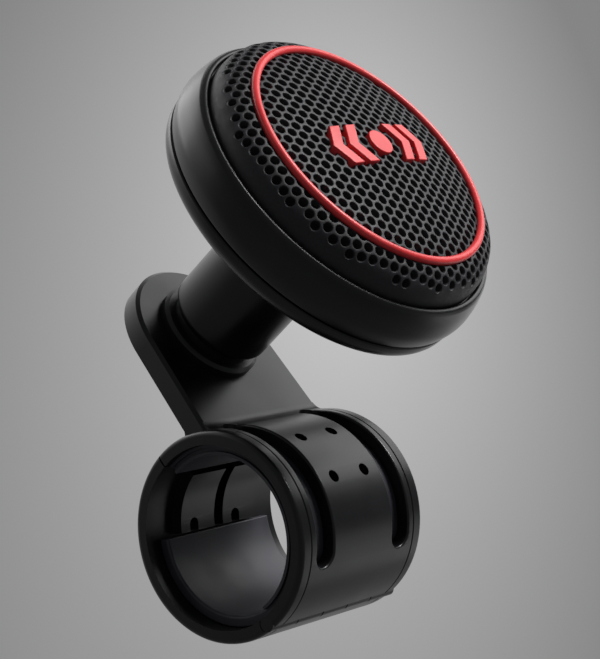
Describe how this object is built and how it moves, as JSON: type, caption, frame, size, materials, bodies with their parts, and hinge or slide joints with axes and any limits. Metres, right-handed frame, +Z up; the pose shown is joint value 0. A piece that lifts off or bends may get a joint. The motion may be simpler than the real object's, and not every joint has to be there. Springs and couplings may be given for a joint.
{
  "type": "steering_wheel_spinner_knob",
  "caption": "Steering wheel spinner knob: a padded round head on ball bearings, standing on the arm of a rubber-lined rim clamp that swings open",
  "frame": {"origin": "middle of the clamped rim, on the bore's axis, halfway along the clamp", "axes": "+X away from the knob, towards the hinge side of the clamp; +Y along the bore of the rim clamp; +Z up, parallel to the knob's own axis, towards the pad"},
  "size_m": [0.0841, 0.062, 0.0792],
  "materials": {
    "satin_black": "satin moulded plastic",
    "liner_rubber": "smooth soft rubber",
    "pad_rubber": "matte perforated soft skin",
    "red_trim": "smooth red plastic",
    "steel": "zinc-plated",
    "bearing_steel": "ground and polished",
    "brass_insert": "knurled brass",
    "cage_nylon": "moulded nylon"
  },
  "bodies": {
    "clamp": {"clamp_shell": "satin_black", "shell_liner": "liner_rubber", "hinge_pin": "steel", "threaded_insert": "brass_insert", "spindle_bolt": "steel", "bolt_washer": "steel", "base_ring": "liner_rubber", "neck_sleeve": "satin_black", "lower_inner_race": "bearing_steel", "upper_inner_race": "bearing_steel", "race_spacer": "steel", "lower_balls": "bearing_steel", "upper_balls": "bearing_steel", "lower_cage": "cage_nylon", "upper_cage": "cage_nylon", "nut_washer": "steel", "lock_nut": "steel"},
    "knob": {"lower_cover": "satin_black", "body_ring": "satin_black", "pad_carrier": "cage_nylon", "grip_pad": "pad_rubber", "trim_ring": "red_trim", "pad_motif": "red_trim", "lower_outer_race": "bearing_steel", "upper_outer_race": "bearing_steel", "housing_spacer": "steel", "retaining_ring": "steel", "cover_screws": "steel", "carrier_screws": "steel"},
    "jaw": {"clamp_jaw": "satin_black", "jaw_liner": "liner_rubber", "clamp_screw": "steel", "clamp_washer": "steel"}
  },
  "joints": [
    {"name": "knob_spin", "type": "hinge", "parent": "clamp", "child": "knob", "pos_m": [-0.0347, 0, 0.04], "axis": [0, 0, 1], "continuous": true},
    {"name": "jaw_swing", "type": "hinge", "parent": "clamp", "child": "jaw", "pos_m": [0.0171, 0, -0.001], "axis": [0, -1, 0], "range_deg": [0, 75]}
  ]
}
